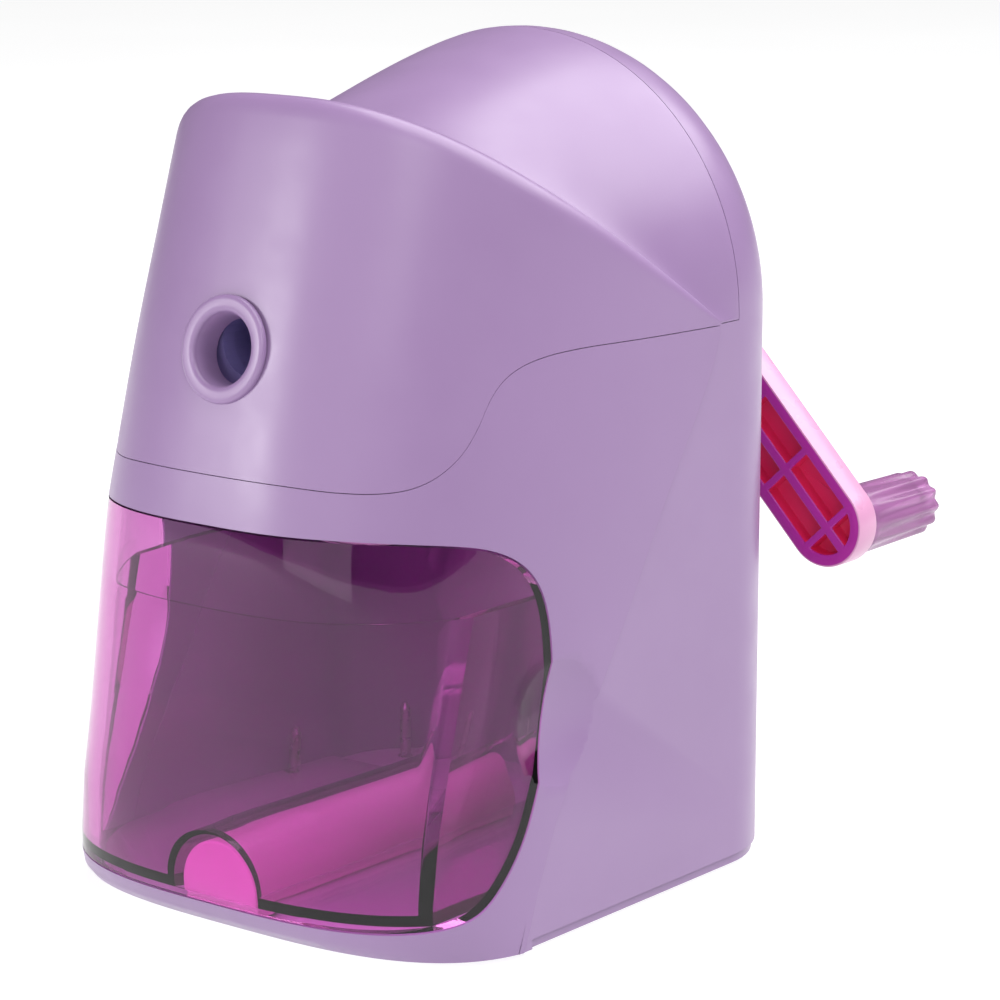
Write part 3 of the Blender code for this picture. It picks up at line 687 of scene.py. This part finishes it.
def inside_front(name, inset, low, high):
    """A block whose front follows the body's front at a depth of inset."""
    form = front_form(name, inset, BELOW_Z, columns=41, rows=20)
    union(form, box(f"{name}_back", (low[0] - 0.5, -24, -4), (high[0] + 0.5, BEYOND_BACK_Y, 62)))
    boolean(form, box(f"{name}_limits", low, high), "INTERSECT")
    return form


def front_prism(name, outline, start, stop):
    """An (x, z) outline extruded from front to back."""
    return loft(name, [[(x, y, z) for x, z in outline] for y in (start, stop)])


def drawer():
    """The curved skin in the window and the box behind it, with a tunnel over the guide rail."""
    tray = front_form("drawer_shell")
    boolean(tray, window_prism("drawer_outline", GAP), "INTERSECT")
    boolean(tray, front_form("skin_hollow", SKIN, BELOW_Z))
    union(tray, inside_front("tray_block", SKIN / 2, (-TRAY_HALF_WIDTH, BEYOND_FRONT_Y, TRAY_FLOOR_Z),
                             (TRAY_HALF_WIDTH, TRAY_BACK_Y, TRAY_TOP_Z)))
    inner = TRAY_HALF_WIDTH - TRAY_WALL
    room = inside_front("tray_room", SKIN + 0.25, (-inner, BEYOND_FRONT_Y, TRAY_FLOOR_Z + TRAY_WALL),
                        (inner, TRAY_BACK_Y - TRAY_WALL, TRAY_TOP_Z + 9))
    past_tray = 30
    hump = dome_ring(RAIL_HALF_WIDTH + 1.8, RAIL_TOP_Z + 1.9, TRAY_FLOOR_Z + 0.5)
    boolean(room, front_prism("tunnel_roof", hump, BEYOND_FRONT_Y, past_tray))
    boolean(tray, room)
    tunnel = dome_ring(RAIL_HALF_WIDTH + 1.0, RAIL_TOP_Z + 1.1, 2)
    boolean(tray, front_prism("tunnel", tunnel, RAIL_FRONT_Y - 0.8, past_tray))
    for side in (-1, 1):
        boolean(tray, finger_hollow(f"tray_hollow_{side}", side))
    show(tray)
    settle(tray)
    dress(tray, "drawer")
    take(tray, "drawer", "clear_magenta", "drawer_tray")


def guide_rail():
    dome = dome_ring(RAIL_HALF_WIDTH, RAIL_TOP_Z, RAIL_FOOT_Z, 49)
    rail = front_prism("guide_rail_dome", dome, RAIL_FRONT_Y, RAIL_BACK_Y)
    show(rail)
    settle(rail, 0.5, 50, 3)
    dress(rail, "rail")
    take(rail, "housing", "pink_plastic", "drawer_guide_rail")


# ---------------------------------------------------------------- crank


def capsule(length, radius, count=28):
    """A long outline with round ends, from the hub at the origin to the knob at +X."""
    arc = [math.pi * i / count for i in range(count + 1)]
    far = [(length + radius * math.sin(t), -radius * math.cos(t)) for t in arc]
    near = [(-radius * math.sin(t), radius * math.cos(t)) for t in arc]
    return far + near


def crank_arm():
    """The arm lies along local X. Its front side is open between the rim and the ribs."""
    place = at(0, 0, AXIS_Z) @ Matrix.Rotation(-ARM_ANGLE, 4, "Y")
    arm = front_prism("crank_arm_ribbed", capsule(ARM_LENGTH, ARM_RADIUS), ARM_Y, ARM_Y + ARM_THICK)
    rim, spine_half, rib_half, hub, seat = 2.0, 0.8, 0.6, 6.2, 3.6
    inner = capsule(ARM_LENGTH, ARM_RADIUS - rim, 24)
    pocket = front_prism("arm_pocket", inner, ARM_Y - 3, ARM_Y + ARM_POCKET)
    near, far = ARM_Y - 4, ARM_Y + 5
    walls = [box(f"arm_cross_rib_{index}", (x - rib_half, near, -8), (x + rib_half, far, 8))
             for index, x in enumerate(ARM_RIBS)]
    walls.append(box("arm_spine", (-10, near, -spine_half), (ARM_LENGTH + 10, far, spine_half)))
    for wall in walls:
        boolean(pocket, wall)
    for piece in (arm, pocket, *walls):
        piece.matrix_world = place
    boolean(arm, pocket)
    union(arm, turned("arm_hub", [(REAR_Y + 1.9, hub), (ARM_Y + 4, hub)], 64))
    bore = SHAFT_RADIUS + GAP
    boolean(arm, turned("arm_shaft_bore", [(REAR_Y, bore), (ARM_Y + 3.0, bore)], 48))
    screw_seat = [(ARM_Y + 2.6, bore), (ARM_Y + 2.95, seat), (ARM_Y + 9, seat)]
    boolean(arm, turned("arm_screw_seat", screw_seat, 48))
    show(arm)
    settle(arm, 0.3, 50)
    dress(arm, "arm_side")
    for look in ("arm_face_painted_shade", "arm_floor_painted_shade"):
        arm.data.materials.append(LOOKS[look])
    # Painted shade: the rim and ribs facing forward get a darker magenta copy of the arm's pink, and the
    # pocket's floor a redder copy, for the shade that falls on them
    turn_back = place.inverted()
    for face in arm.data.polygons:
        centre = turn_back @ face.center / MM
        edge = math.hypot(max(0, abs(centre.x - ARM_LENGTH / 2) - ARM_LENGTH / 2), centre.z)
        if centre.y < ARM_Y - 1 or edge > ARM_RADIUS - 0.31 or centre.y > ARM_Y + 4:
            continue
        face.material_index = 2 if centre.y > ARM_Y + 1.0 else 1
    take(arm, "crank", "pink_plastic", "crank_arm")


def crank_knob():
    """A fluted knob. Its bore widens at the outer end, where the pin's head holds it on."""
    end = (KNOB_REACH * math.cos(ARM_ANGLE), KNOB_REACH * math.sin(ARM_ANGLE))
    start = ARM_Y + ARM_THICK + 0.5
    flutes, count, narrow, wide = 12, 192, 2.1, 3.3
    step, rows = KNOB_LENGTH - 3.2, 11
    profile = [(0, 5.2, narrow), (0.25, 5.45, narrow), (0.8, 5.6, narrow)]
    for i in range(rows + 1):
        part = i / rows
        radius = COLLAR_RADIUS + (KNOB_RADIUS - COLLAR_RADIUS) * part
        profile.append((2 + (step - 2.3) * part, radius, narrow))
    profile += [(step, KNOB_RADIUS, wide), (KNOB_LENGTH - 1.4, KNOB_RADIUS, wide),
                (KNOB_LENGTH - 0.9, KNOB_RADIUS - 0.1, wide), (KNOB_LENGTH - 0.45, KNOB_RADIUS - 0.3, wide),
                (KNOB_LENGTH - 0.1, KNOB_RADIUS - 0.65, wide), (KNOB_LENGTH, KNOB_RADIUS - 1.0, wide + 0.1)]
    outer, inner = [], []
    for distance, radius, bore in profile:
        depth = 0.15 + 0.45 * min(max((distance - 2) / 14, 0), 1) if distance > 1 else 0.0
        ring, hole = [], []
        for i in range(count):
            angle = 2 * math.pi * i / count
            wave = 0.5 - 0.5 * math.cos(flutes * angle)
            here = radius - depth * wave
            ring.append((here * math.cos(angle), start + distance, here * math.sin(angle)))
            hole.append((bore * math.cos(angle), start + distance, bore * math.sin(angle)))
        outer.append(ring)
        inner.append(hole)
    knob = tube_loft("crank_knob_fluted", outer, inner)
    knob.matrix_world = at(end[0], 0, AXIS_Z + end[1])
    show(knob)
    settle(knob, sharp=50)
    dress(knob, "knob")
    take(knob, "knob", "clear_violet", "crank_knob")


# ---------------------------------------------------------------- carried-over nodes and the studio


def dress_nodes():
    """Gives every CAD node its look, for those that no new piece draws."""
    by_slot = {"steel": "steel", "brass": "brass", "grey_plastic": "grey", "dark_rubber": "rubber",
               "lavender_plastic": "lavender", "pink_plastic": "rail", "clear_magenta": "drawer",
               "clear_violet": "knob"}
    for part in frame["record"]["subparts"]:
        node = frame["nodes"][part["node"]]
        dress(node, by_slot[part["material_slot"]])
    dress(frame["nodes"]["pencil_guide"], "guide")


def studio():
    """A pale floor that glows a little, a dim sky and the lamps."""
    floor = box("studio_floor", (-FLOOR_REACH, -FLOOR_REACH, -10), (FLOOR_REACH, FLOOR_REACH, 0))
    show(floor)
    paper = Nodes("floor_paper")
    clouds = paper.spread(paper.noise(6, 3), 0, 1)
    paper.join(paper.colors(clouds, (0.25, 0.25, 0.255), (0.28, 0.28, 0.285)),
               paper.shader.inputs["Base Color"])
    paper.shader.inputs["Roughness"].default_value = 0.9
    paper.shader.inputs["Emission Color"].default_value = (1, 1, 1, 1)
    paper.shader.inputs["Emission Strength"].default_value = FLOOR_GLOW
    floor.data.materials.clear()
    floor.data.materials.append(paper.material)
    world = bpy.data.worlds.new("studio")
    world.use_nodes = True
    world.node_tree.nodes["Background"].inputs["Color"].default_value = (1.0, 0.99, 1.0, 1)
    world.node_tree.nodes["Background"].inputs["Strength"].default_value = SKY_STRENGTH
    bpy.context.scene.world = world
    for lamp in LAMPS:
        area_light(*lamp)


def area_light(name, where, size, power, target):
    light = bpy.data.lights.new(name, "AREA")
    light.shape = "SQUARE"
    light.size = size
    light.energy = power
    lamp = bpy.data.objects.new(name, light)
    bpy.context.scene.collection.objects.link(lamp)
    lamp.location = where
    aim = Vector(target) - Vector(where)
    lamp.rotation_euler = aim.to_track_quat("-Z", "Y").to_euler()


def camera():
    """The camera stands to the right of the front, a little above the pencil hole."""
    data = bpy.data.cameras.new("camera")
    data.sensor_width = 36
    data.lens = CAMERA_LENS
    eye = bpy.data.objects.new("camera", data)
    bpy.context.scene.collection.objects.link(eye)
    eye.location = Vector(CAMERA_PLACE) * MM
    eye.rotation_euler = (math.pi / 2 - CAMERA_TILT, 0, CAMERA_TURN)
    bpy.context.scene.camera = eye
    bpy.context.scene.view_settings.view_transform = "Standard"


def main():
    camera()
    main_body()
    top_cover()
    inlet()
    drawer()
    guide_rail()
    crank_arm()
    crank_knob()
    clear_helpers()
    dress_nodes()
    studio()


main()
